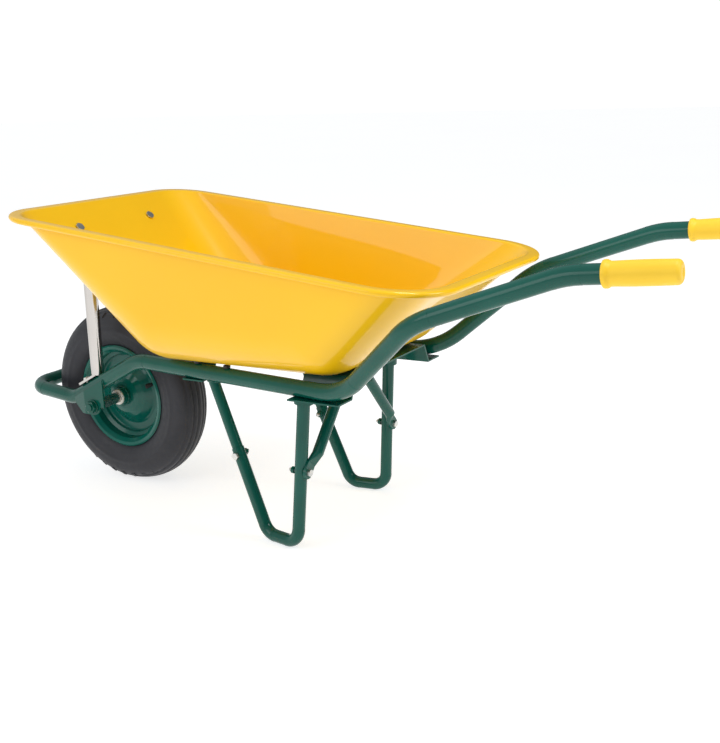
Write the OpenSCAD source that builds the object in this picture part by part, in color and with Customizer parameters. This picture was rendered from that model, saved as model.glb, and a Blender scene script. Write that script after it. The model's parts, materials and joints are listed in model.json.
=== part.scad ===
/* [Overall] */
// Distance from the object's middle back to the wheel's axle line
axle_back = 509; // [450:1:560]
// Height of the wheel's axle line, half the tyre's outside diameter
axle_z = 200; // [170:1:220]

/* [Frame tube] */
// Outside diameter of the main tube
tube_d = 32; // [28:1:38]
// Wall of the main tube
tube_wall = 1.5; // [1.2:0.1:2.5]
// How far the bumper bar stands ahead of the axle
nose_x = 245; // [235:1:270]
// Height of the bumper bar's axis
nose_z = 205; // [190:1:215]
// Bend radius of the two bumper corners
nose_r = 56; // [50:1:58]
// Half the spread of the rails where they level out behind the wheel
rail_front_y = 117; // [112:1:124]
// Where the rails level out, behind the axle
rail_front_x = 139; // [130:1:160]
// Height of the rails there
rail_front_z = 317; // [312:1:322]
// Where the rails turn up to the handles
rail_rear_x = 684; // [660:1:710]
// Half the spread of the rails there
rail_rear_y = 186; // [180:1:192]
// Height of the rails there
rail_rear_z = 327; // [322:1:332]
// Top of the rise behind the tray
rise_x = 864; // [855:1:880]
// Half the spread at the top of the rise
rise_y = 262; // [258:1:270]
// Height of the top of the rise
rise_z = 488; // [480:1:500]
// Where the handles level out
hand_x = 1112; // [1090:1:1130]
// Half the spread of the handles there
hand_y = 243; // [235:1:255]
// Height of the handles there
hand_z = 579; // [570:1:590]
// End of the tube inside the grip
hand_end_x = 1273; // [1250:1:1275]
// Half the spread at the end of the handles
hand_end_y = 240; // [235:1:250]
// Height at the end of the handles
hand_end_z = 593; // [585:1:600]

/* [Grips] */
// Outside diameter of a grip
grip_d = 38; // [35:1:42]
// Length of a grip
grip_len = 111; // [100:1:130]
// Outside diameter of the collar at its open end
grip_collar_d = 42; // [39:1:46]
// Width of that collar
grip_collar_w = 9; // [6:1:14]

/* [Tray] */
// Length of the rim along its own slope
rim_len = 975; // [900:5:1000]
// Half the width over the rim
rim_half_w = 283; // [270:1:295]
// Front edge of the rim ahead of the axle
rim_front_x = 66; // [50:1:80]
// Height of the rim's front edge
rim_front_z = 634; // [610:1:650]
// Slope of the rim, down towards the handles
rim_tilt = 6; // [3:0.5:8]
// Width of the rim's flat lip
lip_w = 22; // [18:1:28]
// Depth of the rim's turned-down edge
lip_drop = 11; // [8:1:16]
// Corner radius of the rim at the front
rim_r_front = 93; // [80:1:110]
// Corner radius of the rim at the back
rim_r_rear = 120; // [100:1:130]
// Sheet thickness of the tray
sheet = 1.6; // [1.2:0.1:2.5]
// Radius of the tray's rounded bottom corners
bowl_r = 110; // [90:1:112]
// Front corner centres behind the axle
bowl_front_x = 277; // [265:1:290]
// Rear corner centres behind the axle
bowl_rear_x = 620; // [600:1:635]
// Half the spread of the corner centres
bowl_y = 130; // [115:1:135]
// Gap between the rails and the tray's underside
tray_lift = 5; // [4:0.5:8]

/* [Wheel] */
// Width of the tyre
tyre_w = 96; // [88:1:100]
// Radius over the rim's flanges
rim_flange_r = 116; // [112:1:118]
// Radius of the rim's bead seat
bead_r = 101; // [99:0.5:103]
// Thickness of a pressed rim half
rim_sheet = 2; // [1.5:0.1:3]
// Diameter of the axle
axle_d = 16; // [12:1:18]
// Radial running clearance between axle and bushes
run_gap = 0.05; // [0.02:0.01:0.1]
// Half the length of the hub tube
hub_half = 45; // [40:1:50]
// Outside radius of the hub tube
hub_r = 20; // [18:1:22]
// Bore radius of the hub tube
hub_bore_r = 13; // [12:0.5:14]
// Direction of the valve round the wheel, up from the rear
valve_turn = 22; // [0:1:60]

/* [Wheel brackets] */
// Thickness of a wheel bracket
bracket_t = 4; // [3:0.5:6]
// Inner face of a bracket from the middle
bracket_y = 118.8; // [118.5:0.1:125]
// Radius of the bracket below the axle
bracket_r = 20; // [17:1:24]

/* [Legs] */
// Outside diameter of a leg tube
leg_d = 25; // [22:1:28]
// Wall of a leg tube
leg_wall = 1.5; // [1.2:0.1:2.5]
// Bend radius at the foot
foot_r = 30; // [25:1:34]
// Rear corner of the foot behind the axle
foot_rear_x = 560; // [545:1:575]
// Front corner of the foot behind the axle
foot_front_x = 480; // [465:1:490]
// Half the spread of the feet at the rear corner
foot_rear_y = 169; // [160:1:176]
// Half the spread of the feet at the front corner
foot_front_y = 156; // [150:1:162]
// Top of the rear limb behind the axle
leg_top_x = 583; // [578:1:590]
// Half the spread of the leg tops
leg_top_y = 157; // [154:1:160]
// Where the stay meets the rail behind the axle
stay_x = 355; // [350:1:375]
// Play of a stay inside its leg tube, on the radius
stay_slip = 0.2; // [0.15:0.05:0.5]
// Height of the leg's open front end
stay_low_z = 178; // [150:1:190]
// How far the stay slides down into the leg
stay_lap = 45; // [35:1:60]

/* [Bridges and braces] */
// Thickness of the pressed bridges
bridge_t = 3; // [2:0.5:4]
// Front edge of the rear bridge behind the axle
rear_bridge_x = 570; // [565:1:578]
// Width of the rear bridge along the rails
rear_bridge_w = 110; // [90:1:120]
// Front edge of the front bridge behind the axle
front_bridge_x = 285; // [275:1:290]
// Width of the front bridge along the rails
front_bridge_w = 50; // [40:1:60]
// Outside diameter of a cross brace
cross_d = 22; // [18:1:25]
// Height of the cross brace's bolt on the leg
cross_low_z = 159; // [140:1:180]
// Outside diameter of a tray brace
brace_d = 28; // [22:1:30]

/* [Hidden] */
$fn = 64;
// Straights are drawn this much thinner than bends, and run into them this far, so each joint is clean
seam = 0.25;
seam_lap = 1;
// Flattened ends are drawn this much inside the part that leads into them
nip = 0.05;
// Gap left between pieces that touch
touch = 0.1;
// Gap left between the spinning wheel and what it passes
free_gap = 0.4;
far = 400;
tube_r = tube_d / 2;
leg_r = leg_d / 2;
stay_r = leg_r - leg_wall - stay_slip;
stay_wall = 1.5;
cross_r = cross_d / 2;
brace_r = brace_d / 2;
axle_r = axle_d / 2;
grip_r = grip_d / 2;
tyre_r = axle_z;
// M8 hardware
m8_r = 4;
m8_hole = 4.3;
m8_flat_r = 7.5;
m8_nut_h = 6.5;
m8_head_h = 5.5;
m8_washer_r = 8.4;
m8_washer_t = 1.6;

// Corner points of the main tube's axis on one side, from the bumper's middle to the handle's end
nose_dy = (rail_rear_y - rail_front_y) / (rail_rear_x - rail_front_x);
low_x = 85;
low_z = 201;
function rail_y(x) = rail_front_y + nose_dy * (x - rail_front_x);
TUBE = [
    [-nose_x, 0, nose_z],
    [-nose_x, -rail_y(-nose_x), nose_z],
    [-low_x, -rail_y(-low_x), low_z],
    [rail_front_x, -rail_front_y, rail_front_z],
    [rail_rear_x, -rail_rear_y, rail_rear_z],
    [rise_x, -rise_y, rise_z],
    [hand_x, -hand_y, hand_z],
    [hand_end_x, -hand_end_y, hand_end_z]
];
TUBE_R = [nose_r, 80, 126, 150, 145, 180];

// Slope and height of the rails
rail_tilt = atan2(rail_rear_z - rail_front_z, rail_rear_x - rail_front_x);
function rail_z(x) = rail_front_z + (x - rail_front_x) * tan(rail_tilt);
// Heights in the frame that lies along the rails, measured from the rail's axis
deck_low = -tube_r - touch;
tray_low = tube_r + tray_lift;

// Corner points of a leg's axis
leg_over = 14;
leg_low_z = leg_r;
LEG_TOP = [leg_top_x, -leg_top_y, rail_z(leg_top_x) + leg_over - tube_r];
LEG_REAR = [foot_rear_x, -foot_rear_y, leg_low_z];
LEG_FRONT = [foot_front_x, -foot_front_y, leg_low_z];
STAY_TOP = [stay_x, -rail_y(stay_x), rail_z(stay_x)];
function along(a, b, z) = a + (b - a) * (z - a[2]) / (b[2] - a[2]);
STAY_LOW = along(LEG_FRONT, STAY_TOP, stay_low_z);
stay_dir = unit(STAY_TOP - LEG_FRONT);
LEG = [LEG_TOP, LEG_REAR, LEG_FRONT, STAY_LOW];
stay_bolt_down = 14;
STAY_BOLT = STAY_LOW - stay_dir * stay_bolt_down;
STAY_END = STAY_LOW - stay_dir * stay_lap;
CROSS_LEG = along(LEG_REAR, LEG_TOP, cross_low_z);

// Vector helpers
function unit(v) = v / norm(v);
function turn_at(p, i) = acos(max(-1, min(1, unit(p[i] - p[i - 1]) * unit(p[i + 1] - p[i]))));
function set_back(p, r, i) = i == 0 || i == len(p) - 1 ? 0 : r[i - 1] * tan(turn_at(p, i) / 2);
function run_len(p, r, i) = norm(p[i + 1] - p[i]) - set_back(p, r, i) - set_back(p, r, i + 1);
function bend_n(p, i) = unit(cross(p[i] - p[i - 1], p[i + 1] - p[i]));
function roll_at(p, i) = i == 1 ? 0 : atan2(
    cross(bend_n(p, i - 1), bend_n(p, i)) * unit(p[i] - p[i - 1]), bend_n(p, i - 1) * bend_n(p, i));

// Places its children with +Z along v
module aim(p, v) {
    d = unit(v);
    translate(p) rotate([0, acos(d[2]), atan2(d[1], d[0])]) children();
}

// Rod between two points
module rod(a, b, r) {
    aim(a, b - a) cylinder(r = r, h = norm(b - a));
}

// One bend of a round bar, starting up +Z and turning towards +X
module bend(radius, angle, r) {
    translate([radius, 0, 0])
        rotate([90, 0, 180])
            rotate_extrude(angle = angle) translate([radius, 0]) circle(r);
}

// Round bar through the corner points p from straight i on, each bend starting from the last straight's end
module bar(p, radii, r, i, before) {
    l = run_len(p, radii, i);
    last = i == len(p) - 2;
    lap = last ? 0 : seam_lap;
    translate([0, 0, -before]) cylinder(r = r - seam, h = l + before + lap);
    if (!last) {
        angle = turn_at(p, i + 1);
        radius = radii[i];
        translate([0, 0, l]) rotate([0, 0, roll_at(p, i + 1)]) {
            bend(radius, angle, r);
            translate([radius, 0, 0])
                rotate([0, angle, 0])
                    translate([-radius, 0, 0]) bar(p, radii, r, i + 1, seam_lap);
        }
    }
}

// Stands the bar's first straight on its own points
module stand(p) {
    d = unit(p[1] - p[0]);
    n = bend_n(p, 1);
    s = cross(n, d);
    multmatrix([
        [s[0], n[0], d[0], p[0][0]],
        [s[1], n[1], d[1], p[0][1]],
        [s[2], n[2], d[2], p[0][2]],
        [0, 0, 0, 1]
    ]) children();
}

// Puts the axle line's x at the right place
module from_axle() {
    translate([-axle_back, 0, 0]) children();
}

// Draws a piece for the left side (-1) or the right side (1)
module side(s) {
    if (s < 0) children();
    else mirror([0, 1, 0]) children();
}

// Frame that lies along the rails: x from the rails' front bend, z from the rail's axis
module deck() {
    translate([rail_front_x, 0, rail_front_z]) rotate([0, -rail_tilt, 0]) translate([-rail_front_x, 0, 0]) children();
}

// Frame of the rim's plane: x back from its front edge, z up from its top face
module rim_plane() {
    translate([-rim_front_x, 0, rim_front_z]) rotate([0, rim_tilt, 0]) children();
}

// ---------------------------------------------------------------- frame tube
nose_run = run_len(TUBE, TUBE_R, 0);

module tube_pair(r) {
    stand(TUBE) bar(TUBE, TUBE_R, r, 0, nose_run + seam_lap);
    mirror([0, 1, 0]) stand(TUBE) translate([0, 0, nose_run]) {
        angle = turn_at(TUBE, 1);
        bend(nose_r, angle, r);
        translate([nose_r, 0, 0])
            rotate([0, angle, 0])
                translate([-nose_r, 0, 0]) bar(TUBE, TUBE_R, r, 1, seam_lap);
    }
}

module frame_tube() {
    color("DarkGreen") from_axle() difference() {
        tube_pair(tube_r);
        tube_pair(tube_r - tube_wall);
        for (s = [-1, 1]) side(s) brace_foot_place() cylinder(r = m8_hole, h = far, center = true);
    }
}

// ---------------------------------------------------------------- grips
hand_dir = unit(TUBE[7] - TUBE[6]);
grip_round = 7;
grip_steps = 6;
grip_end_wall = 5;
grip_start = hand_end_x - grip_len + grip_end_wall + touch;

module grip() {
    start = TUBE[7] - hand_dir * (grip_len - grip_end_wall - touch);
    aim(start, hand_dir) difference() {
        union() {
            rotate_extrude() polygon(concat(
                [[0, 0], [grip_r, 0], [grip_r, grip_len - grip_round]],
                [for (i = [1:grip_steps]) let (a = 90 * i / grip_steps)
                    [grip_r - grip_round + grip_round * cos(a), grip_len - grip_round + grip_round * sin(a)]],
                [[0, grip_len]]));
            cylinder(r = grip_collar_d / 2, h = grip_collar_w);
        }
        translate([0, 0, -1]) cylinder(r = tube_r + touch / 2, h = grip_len - grip_end_wall + 1);
    }
}

module grip_left() {
    color("Gold") from_axle() side(-1) grip();
}

module grip_right() {
    color("Gold") from_axle() side(1) grip();
}

// ---------------------------------------------------------------- tray
corner_steps = 9;
function arc(c, r, a) = [for (i = [0:corner_steps]) c + r * [cos(a + 90 * i / corner_steps), sin(a + 90 * i / corner_steps)]];

// Rounded outline of the rim, drawn in from its edge by inset
module rim_outline(inset) {
    x1 = rim_len - inset;
    w = rim_half_w - inset;
    rf = rim_r_front - inset;
    rr = rim_r_rear - inset;
    polygon(concat(
        arc([x1 - rr, w - rr], rr, 0), arc([inset + rf, w - rf], rf, 90),
        arc([inset + rf, rf - w], rf, 180), arc([x1 - rr, rr - w], rr, 270)));
}

// Lower half of a ball
module half_ball(r) {
    rotate_extrude($fn = 48) polygon(concat([[0, 0]], [for (i = [0:corner_steps])
        r * [cos(90 * i / corner_steps), -sin(90 * i / corner_steps)]]));
}

// The tub as one convex body: the rim's opening at the top, four half balls at the bottom corners
module tub(wall, top) {
    hull() {
        rim_plane() translate([0, 0, top]) linear_extrude(0.1) rim_outline(lip_w + wall);
        deck() for (s = [-1, 1], x = [bowl_front_x, bowl_rear_x])
            translate([x, s * bowl_y, tray_low + bowl_r]) half_ball(bowl_r - wall);
    }
}

skirt = 2;
module tray() {
    color("Gold") from_axle() difference() {
        union() {
            tub(0, -sheet / 2);
            rim_plane() difference() {
                translate([0, 0, -lip_drop]) linear_extrude(lip_drop) rim_outline(0);
                translate([0, 0, -lip_drop - 1]) linear_extrude(lip_drop + 1 - sheet) rim_outline(skirt);
            }
        }
        tub(sheet, 1);
        tray_bolt_places() cylinder(r = m8_hole, h = far, center = true);
        for (s = [-1, 1]) side(s) wall_bolt_place() cylinder(r = m8_hole, h = 40, center = true);
    }
}

// ---------------------------------------------------------------- bridges
front_riser_y = 114;
rear_riser_y = 148;
riser_slant = 16;
bridge_top = tray_low - free_gap;

// Pressed hat: flanges under the rails, raised middle under the tray
module hat(x, w, out_y, riser_y) {
    low = deck_low - bridge_t;
    in_y = riser_y - riser_slant;
    deck() translate([x, 0, 0]) rotate([90, 0, 90]) linear_extrude(w) polygon([
        [-out_y, low], [-riser_y, low], [-in_y, bridge_top - bridge_t], [in_y, bridge_top - bridge_t],
        [riser_y, low], [out_y, low], [out_y, deck_low], [riser_y + bridge_t, deck_low],
        [in_y + bridge_t, bridge_top], [-in_y - bridge_t, bridge_top], [-riser_y - bridge_t, deck_low],
        [-out_y, deck_low]
    ]);
}

lug_t = 5;
lug_half = 40;
lug_low = 308;
cross_t = 5;
cross_x = CROSS_LEG[0] + leg_r + touch + cross_t / 2;
lug_x = cross_x - cross_t / 2 - touch - lug_t;
lug_bolt_y = 28;
lug_bolt_z = 318;

module bridge_front() {
    color("DarkGreen") from_axle() difference() {
        hat(front_bridge_x, front_bridge_w, 150, front_riser_y);
        tray_bolt_places() cylinder(r = m8_hole, h = far, center = true);
    }
}

module bridge_rear() {
    color("DarkGreen") from_axle() difference() {
        union() {
            hat(rear_bridge_x, rear_bridge_w, 196, rear_riser_y);
            translate([lug_x, -lug_half, lug_low]) cube([lug_t, 2 * lug_half, rail_z(lug_x) + bridge_top - 1 - lug_low]);
        }
        tray_bolt_places() cylinder(r = m8_hole, h = far, center = true);
        for (s = [-1, 1]) translate([lug_x, s * lug_bolt_y, lug_bolt_z]) rotate([0, 90, 0])
            cylinder(r = m8_hole, h = 40, center = true);
    }
}

// ---------------------------------------------------------------- tray bolts
front_bolt_y = 70;
rear_bolt_y = 100;
rear_bolt_in = 35;

module tray_bolt_places() {
    deck() for (s = [-1, 1]) {
        translate([front_bridge_x + front_bridge_w / 2, s * front_bolt_y, 0]) children();
        translate([rear_bridge_x + rear_bolt_in, s * rear_bolt_y, 0]) children();
    }
}

cup_r = 10;
cup_h = 4;
bolt_tail = 6;

module tray_bolts() {
    low = bridge_top - bridge_t - m8_washer_t - m8_nut_h - bolt_tail;
    color("Silver") from_axle() tray_bolt_places() {
        translate([0, 0, low]) cylinder(r = m8_r, h = tray_low + sheet + touch - low + 1);
        translate([0, 0, tray_low + sheet + touch]) intersection() {
            cylinder(r = cup_r, h = cup_h);
            translate([0, 0, cup_h - cup_r * 1.6]) sphere(cup_r * 1.6);
        }
    }
}

module tray_washers() {
    color("Silver") from_axle() tray_bolt_places()
        translate([0, 0, bridge_top - bridge_t - m8_washer_t - touch]) difference() {
            cylinder(r = m8_washer_r, h = m8_washer_t);
            translate([0, 0, -1]) cylinder(r = m8_hole, h = 4);
        }
}

module hex_nut(r_in) {
    difference() {
        cylinder(r = m8_flat_r, h = m8_nut_h, $fn = 6);
        translate([0, 0, -1]) cylinder(r = r_in, h = m8_nut_h + 2);
    }
}

nut_bore = m8_r + 0.05;
module tray_nuts() {
    color("Silver") from_axle() tray_bolt_places()
        translate([0, 0, bridge_top - bridge_t - m8_washer_t - m8_nut_h - 2 * touch]) hex_nut(nut_bore);
}

// Rubber pads that carry the tray on the rails
pad_r = 7;
pad_x = [320, 400];
module tray_pads() {
    color("Black") from_axle() deck() for (s = [-1, 1], x = pad_x)
        translate([x, s * rail_y(x), tube_r + touch]) cylinder(r = pad_r, h = tray_lift - 3 * touch);
}

// ---------------------------------------------------------------- legs
module cut_at_bridge() {
    deck() translate([leg_top_x - 60, -far, deck_low - bridge_t - touch]) cube([120, 2 * far, 60]);
}

module leg() {
    difference() {
        stand(LEG) bar(LEG, [foot_r, foot_r], leg_r, 0, 0);
        stand(LEG) bar(LEG, [foot_r, foot_r], leg_r - leg_wall, 0, seam_lap);
        cut_at_bridge();
        stay_bolt_hole();
        cross_bolt_hole();
        rod(STAY_END - stay_dir, STAY_LOW + stay_dir, leg_r - leg_wall);
    }
}

module leg_left() {
    color("DarkGreen") from_axle() side(-1) leg();
}

module leg_right() {
    color("DarkGreen") from_axle() side(1) leg();
}

// Short welded sockets that hold the leg tops under the rear bridge
socket_r = 18;
socket_h = 14;
module leg_sockets() {
    top = along(LEG_REAR, LEG_TOP, rail_z(leg_top_x) + deck_low - bridge_t - touch);
    color("DarkGreen") from_axle() for (s = [-1, 1]) side(s) difference() {
        aim(top, LEG_REAR - LEG_TOP) translate([0, 0, -5]) cylinder(r = socket_r, h = socket_h + 5);
        aim(top, LEG_REAR - LEG_TOP) translate([0, 0, -6]) cylinder(r = leg_r + touch / 2, h = far);
        cut_at_bridge();
    }
}

// ---------------------------------------------------------------- stays
module stay_bolt_hole() {
    translate(STAY_BOLT) rotate([90, 0, 0]) cylinder(r = m8_hole, h = 60, center = true);
}

module stay() {
    difference() {
        rod(STAY_END, STAY_TOP, stay_r);
        rod(STAY_END - stay_dir, STAY_TOP, stay_r - stay_wall);
        rod(TUBE[3], TUBE[4], tube_r + touch / 2);
        stay_bolt_hole();
    }
}

module stay_left() {
    color("DarkGreen") from_axle() side(-1) stay();
}

module stay_right() {
    color("DarkGreen") from_axle() side(1) stay();
}

module stay_bolts() {
    reach = leg_r + lean_gap / 2;
    color("Silver") from_axle() for (s = [-1, 1]) side(s) translate(STAY_BOLT) rotate([90, 0, 0]) {
        translate([0, 0, -reach - m8_nut_h - bolt_tail]) cylinder(r = m8_r, h = 2 * reach + m8_nut_h + bolt_tail + 1);
        translate([0, 0, reach]) cylinder(r = m8_flat_r, h = m8_head_h, $fn = 6);
    }
}

module stay_nuts() {
    color("Silver") from_axle() for (s = [-1, 1]) side(s) translate(STAY_BOLT) rotate([90, 0, 0])
        translate([0, 0, -leg_r - lean_gap / 2 - m8_nut_h]) hex_nut(nut_bore);
}

// ---------------------------------------------------------------- cross braces
CROSS_LOW = [cross_x, CROSS_LEG[1], CROSS_LEG[2]];
CROSS_TOP = [cross_x, -lug_bolt_y, lug_bolt_z];
cross_flat = 40;
cross_tab_w = 25;
cross_neck = 18;
cross_out = 7;
lean_gap = 0.9;

module cross_bolt_hole() {
    translate(CROSS_LEG) rotate([0, 90, 0]) cylinder(r = m8_hole, h = 60, center = true);
}

// Round tube with both ends pressed flat against the leg and the lug
module cross_brace() {
    l = norm(CROSS_TOP - CROSS_LOW);
    tube_l = l - 2 * cross_flat;
    fall = atan2(CROSS_TOP[1] - CROSS_LOW[1], CROSS_TOP[2] - CROSS_LOW[2]);
    difference() {
        translate(CROSS_LOW) rotate([-fall, 0, 0]) {
            difference() {
                translate([cross_out, 0, cross_flat]) cylinder(r = cross_r, h = tube_l);
                translate([cross_out, 0, cross_flat + 4]) cylinder(r = cross_r - leg_wall, h = tube_l - 8);
            }
            for (up = [false, true]) translate([0, 0, up ? l : 0]) mirror([0, 0, up ? 1 : 0]) {
                hull() {
                    translate([cross_out, 0, cross_flat]) cylinder(r = cross_r - seam, h = 1, $fn = 32);
                    translate([-cross_t / 2, -cross_tab_w / 2, cross_neck]) cube([cross_t, cross_tab_w, 1]);
                }
                translate([-cross_t / 2 + nip, 0, 0]) rotate([0, 90, 0])
                    cylinder(r = cross_tab_w / 2, h = cross_t - 2 * nip);
                translate([-cross_t / 2 + nip, -cross_tab_w / 2 + nip, 0])
                    cube([cross_t - 2 * nip, cross_tab_w - 2 * nip, cross_neck + 1]);
            }
        }
        for (p = [CROSS_LOW, CROSS_TOP]) translate(p) rotate([0, 90, 0]) cylinder(r = m8_hole, h = 30, center = true);
        rod(LEG_REAR, LEG_TOP, leg_r + touch);
    }
}

module cross_brace_left() {
    color("DarkGreen") from_axle() side(-1) cross_brace();
}

module cross_brace_right() {
    color("DarkGreen") from_axle() side(1) cross_brace();
}

// Leg bolts run forward through the brace and the leg, lug bolts through the brace and the lug
module cross_bolts() {
    color("Silver") from_axle() for (s = [-1, 1]) side(s) {
        head_x = cross_x + cross_t / 2 + touch;
        low_tail = CROSS_LEG[0] - leg_r - m8_nut_h - bolt_tail;
        top_tail = lug_x - m8_nut_h - bolt_tail;
        translate([low_tail, CROSS_LEG[1], CROSS_LEG[2]]) rotate([0, 90, 0]) cylinder(r = m8_r, h = head_x - low_tail + 1);
        translate([head_x, CROSS_LEG[1], CROSS_LEG[2]]) rotate([0, 90, 0]) cylinder(r = m8_flat_r, h = m8_head_h, $fn = 6);
        translate([top_tail, -lug_bolt_y, lug_bolt_z]) rotate([0, 90, 0]) cylinder(r = m8_r, h = head_x - top_tail + 1);
        translate([head_x, -lug_bolt_y, lug_bolt_z]) rotate([0, 90, 0]) cylinder(r = m8_flat_r, h = m8_head_h, $fn = 6);
    }
}

module cross_nuts() {
    color("Silver") from_axle() for (s = [-1, 1]) side(s) {
        translate([CROSS_LEG[0] - leg_r - lean_gap - m8_nut_h, CROSS_LEG[1], CROSS_LEG[2]])
            rotate([0, 90, 0]) hex_nut(nut_bore);
        translate([lug_x - touch - m8_nut_h, -lug_bolt_y, lug_bolt_z]) rotate([0, 90, 0]) hex_nut(nut_bore);
    }
}

// ---------------------------------------------------------------- tray braces
rise_dir = unit(TUBE[3] - TUBE[2]);
rise_tilt = asin(rise_dir[2]);
rise_yaw = atan2(rise_dir[1], rise_dir[0]);
function rise_at(x) = TUBE[2] + rise_dir * (x + low_x) / rise_dir[0];
foot_bolt_x = -30;
foot_len = 66;
foot_w = 26;
foot_t = 5;
foot_bolt_in = 16;
brace_base_x = 0;
wall_x = -2;
wall_y = 107;
wall_tab = 5;

// Frame on the tube's rise: z out of its top, x along it
module brace_foot_place() {
    translate(rise_at(foot_bolt_x)) rotate([0, 0, rise_yaw]) rotate([0, -rise_tilt, 0]) children();
}

// Slope of the tray's front wall, from the lip down to the round of the bottom corner
rim_top_x = -rim_front_x + lip_w * cos(rim_tilt);
rim_top_z = rim_front_z - lip_w * sin(rim_tilt);
ball_x = rail_front_x + (bowl_front_x - rail_front_x) * cos(rail_tilt) - (tray_low + bowl_r) * sin(rail_tilt);
ball_z = rail_front_z + (bowl_front_x - rail_front_x) * sin(rail_tilt) + (tray_low + bowl_r) * cos(rail_tilt);
wall_far = norm([ball_x - rim_top_x, rim_top_z - ball_z]);
wall_fall = atan2(rim_top_z - ball_z, ball_x - rim_top_x) + asin(bowl_r / wall_far);
wall_z = rim_top_z - (wall_x - rim_top_x) * tan(wall_fall);

// Frame on the outside of the front wall: z out of the wall, x down it
module wall_bolt_place() {
    translate([wall_x, -wall_y, wall_z]) rotate([0, 180 + wall_fall, 0]) mirror([1, 0, 0]) mirror([0, 1, 0]) children();
}

wall_gap = 0.6;
BRACE_LOW = rise_at(brace_base_x) + [0, 0, tube_r + foot_t + 2];
BRACE_HIGH = [10, -104, 528];
brace_tab_len = 26;

module brace() {
    difference() {
        union() {
            difference() {
                rod(BRACE_LOW, BRACE_HIGH, brace_r);
                rod(BRACE_LOW + [0, 0, 8], BRACE_HIGH - [0, 0, 6], brace_r - leg_wall);
            }
            brace_foot_place() translate([-foot_bolt_in, -foot_w / 2, tube_r + touch]) cube([foot_len, foot_w, foot_t]);
            hull() {
                aim(BRACE_HIGH, BRACE_HIGH - BRACE_LOW) translate([0, 0, -1]) cylinder(r = brace_r - seam, h = 1, $fn = 32);
                wall_bolt_place() translate([16, -foot_w / 2, wall_gap]) cube([8, foot_w, wall_tab]);
            }
            wall_bolt_place() translate([0, 0, wall_gap + nip]) cylinder(r = foot_w / 2, h = wall_tab - 2 * nip);
            wall_bolt_place() translate([0, -foot_w / 2 + nip, wall_gap + nip])
                cube([20, foot_w - 2 * nip, wall_tab - 2 * nip]);
        }
        brace_foot_place() cylinder(r = m8_hole, h = 60);
        wall_bolt_place() cylinder(r = m8_hole, h = 30, center = true);
        rod(TUBE[2], TUBE[3], tube_r + touch / 2);
    }
}

module brace_left() {
    color("LightGray") from_axle() side(-1) brace();
}

module brace_right() {
    color("LightGray") from_axle() side(1) brace();
}

module brace_bolts() {
    color("Silver") from_axle() for (s = [-1, 1]) side(s) {
        brace_foot_place() {
            translate([0, 0, -tube_r - m8_nut_h - bolt_tail]) cylinder(r = m8_r, h = 2 * tube_r + m8_nut_h + bolt_tail + foot_t + 1);
            translate([0, 0, tube_r + foot_t + 2 * touch]) cylinder(r = m8_flat_r, h = m8_head_h, $fn = 6);
        }
        wall_bolt_place() {
            translate([0, 0, -sheet - 2 * touch - 1]) cylinder(r = m8_r, h = sheet + wall_gap + wall_tab + m8_nut_h + bolt_tail);
            translate([0, 0, -sheet - wall_gap - cup_h]) cylinder(r1 = cup_r * 0.7, r2 = cup_r, h = cup_h);
        }
    }
}

module brace_nuts() {
    color("Silver") from_axle() for (s = [-1, 1]) side(s) {
        brace_foot_place() translate([0, 0, -tube_r - touch - m8_nut_h]) hex_nut(nut_bore);
        wall_bolt_place() translate([0, 0, wall_gap + wall_tab + touch]) hex_nut(nut_bore);
    }
}

// ---------------------------------------------------------------- wheel brackets
bracket_rear_x = 32;
bracket_fold_x = -25;
bracket_front_x = -66;
bracket_in = 9.9;
bracket_low_x = -36;
bracket_steps = 8;

// Plate outside the tube, bent in at the front
module bracket_plate() {
    y = bracket_y;
    low = axle_z - bracket_r;
    intersection() {
        linear_extrude(far) polygon([
            [bracket_rear_x + 6, -y], [bracket_fold_x, -y], [bracket_front_x, -y + bracket_in],
            [bracket_front_x, -y + bracket_in - bracket_t], [bracket_fold_x, -y - bracket_t],
            [bracket_rear_x + 6, -y - bracket_t]
        ]);
        rotate([90, 0, 0]) linear_extrude(far) polygon(concat(
            [[bracket_low_x, low], [bracket_front_x + 2, low_z], [bracket_front_x + 2, rise_at(bracket_front_x)[2]],
            [bracket_rear_x, rise_at(bracket_rear_x)[2]], [bracket_rear_x, axle_z]],
            [for (i = [0:bracket_steps]) let (a = -90 * i / bracket_steps)
                [bracket_r * cos(a), axle_z + bracket_r * sin(a)]]));
    }
}

// Filled seam between the plate and the tube
module bracket_seam() {
    y = bracket_y;
    x0 = bracket_front_x + 3;
    x1 = bracket_rear_x - 2;
    intersection() {
        linear_extrude(far) polygon([
            [bracket_rear_x, -y - 1], [bracket_fold_x, -y - 1], [x0, -y + bracket_in - 1],
            [x0, -y + bracket_in + seam_w], [bracket_rear_x, -y + seam_w]
        ]);
        rotate([90, 0, 0]) linear_extrude(far) polygon([
            [x0, rise_at(x0)[2] - 1], [x1, rise_at(x1)[2] - 1],
            [x1, rise_at(x1)[2] - seam_depth], [x0, rise_at(x0)[2] - seam_depth]
        ]);
    }
}

module bracket() {
    difference() {
        union() {
            bracket_plate();
            bracket_seam();
        }
        rod(TUBE[2] - rise_dir * 20, TUBE[3], tube_r + touch / 2);
        translate([0, 0, axle_z]) rotate([90, 0, 0]) cylinder(r = axle_r + touch, h = far);
    }
}
seam_w = 8;
seam_depth = 12;

module wheel_bracket_left() {
    color("DarkGreen") from_axle() side(-1) bracket();
}

module wheel_bracket_right() {
    color("DarkGreen") from_axle() side(1) bracket();
}

// ---------------------------------------------------------------- axle
axle_washer_t = 3;
axle_washer_r = 15;
axle_nut_h = 8;
axle_nut_r = 13.8;
axle_tail = 3;
washer_y = bracket_y + bracket_t + touch;
nut_y = washer_y + axle_washer_t + touch;
axle_half = nut_y + axle_nut_h + axle_tail;

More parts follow.
